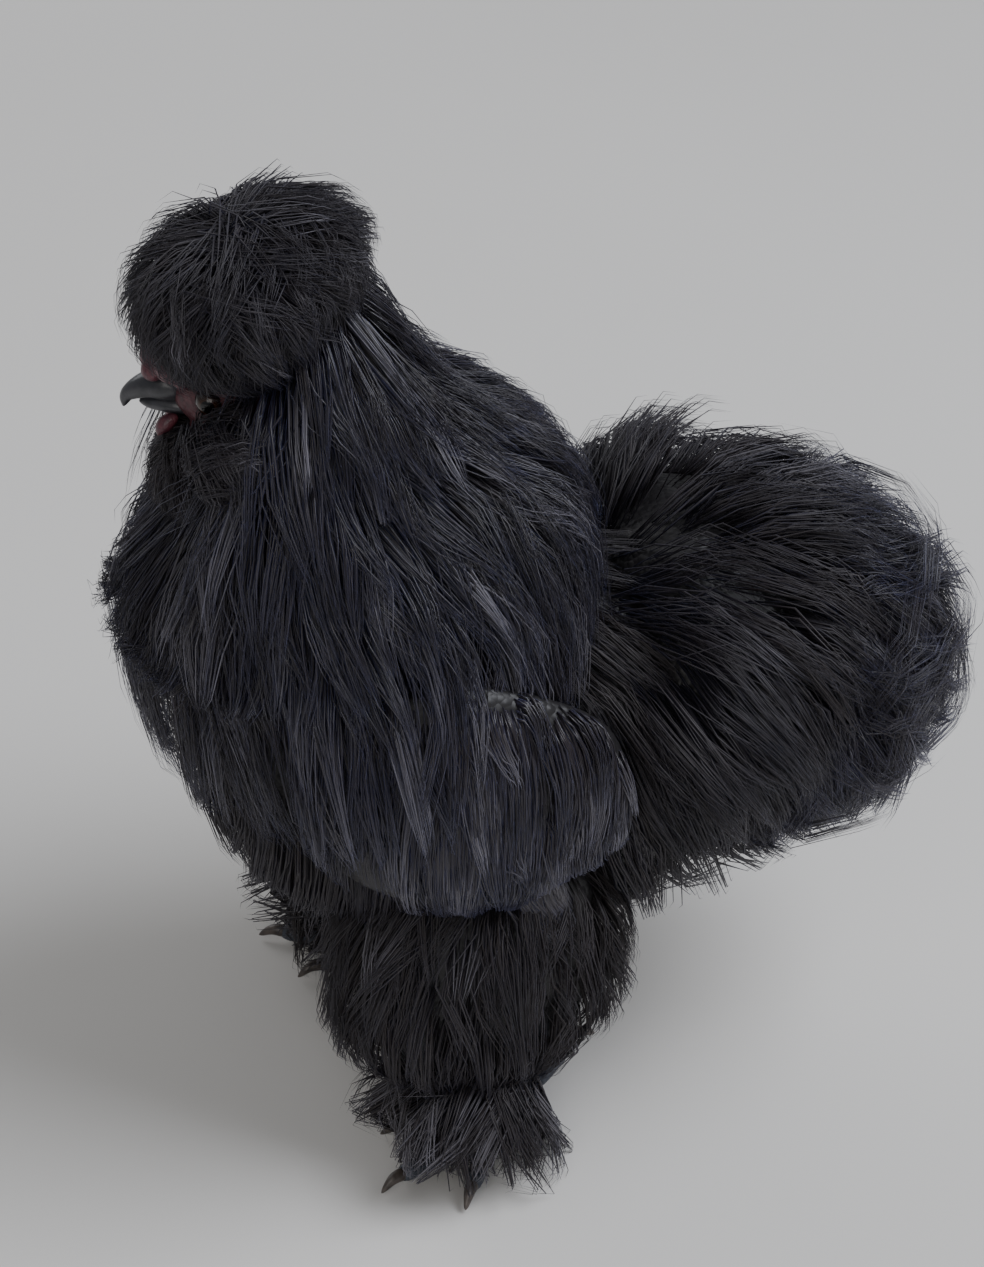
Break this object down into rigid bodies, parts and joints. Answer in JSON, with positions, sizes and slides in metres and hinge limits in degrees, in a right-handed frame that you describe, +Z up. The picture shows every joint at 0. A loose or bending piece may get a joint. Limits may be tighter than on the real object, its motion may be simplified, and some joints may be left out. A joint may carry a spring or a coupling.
{
  "type": "silkie chicken",
  "caption": "Standing black silkie chicken, life size and still, with a round crest, beard, silky cape, cushion tail and feathered feet, its head turned to its right",
  "frame": {"origin": "on the floor, under the middle of the bird's bounding box", "axes": "+Z up, the bird faces -Y, and its left side is on +X"},
  "size_m": [0.1616, 0.24, 0.2941],
  "materials": {
    "plumage": "soft black down-like plumage, warm brown-black in the light",
    "cape": "long silky black hackle with a cool blue-violet sheen",
    "wing_plumage": "glossy black silky wing feathers",
    "tail_plumage": "shredded black plumes with a violet sheen",
    "face_skin": "dark mulberry skin, finely wrinkled",
    "comb": "mulberry red, bulbous and slightly moist",
    "earlobe": "dull turquoise skin",
    "leg_skin": "slate-blue scaled skin",
    "horn": "dark slate horn, half gloss",
    "claw": "dark horn, paler at the edges",
    "eye": "near-black, wet gloss"
  },
  "bodies": {
    "root": {"beak_lower": "horn", "beak_upper": "horn", "beard": "plumage", "boot_left": "plumage", "boot_right": "plumage", "claw_fifth_left": "claw", "claw_fifth_right": "claw", "claw_hind_left": "claw", "claw_hind_right": "claw", "claw_inner_left": "claw", "claw_inner_right": "claw", "claw_middle_left": "claw", "claw_middle_right": "claw", "claw_outer_left": "claw", "claw_outer_right": "claw", "comb": "comb", "crest": "plumage", "earlobe_left": "earlobe", "earlobe_right": "earlobe", "eye_left": "eye", "eye_right": "eye", "foot_left": "leg_skin", "foot_right": "leg_skin", "head": "face_skin", "muff_left": "plumage", "muff_right": "plumage", "neck": "cape", "saddle": "plumage", "shank_left": "leg_skin", "shank_right": "leg_skin", "tail": "tail_plumage", "thigh_left": "plumage", "thigh_right": "plumage", "torso": "plumage", "wattle_left": "comb", "wattle_right": "comb", "wing_left": "wing_plumage", "wing_right": "wing_plumage"}
  },
  "joints": []
}
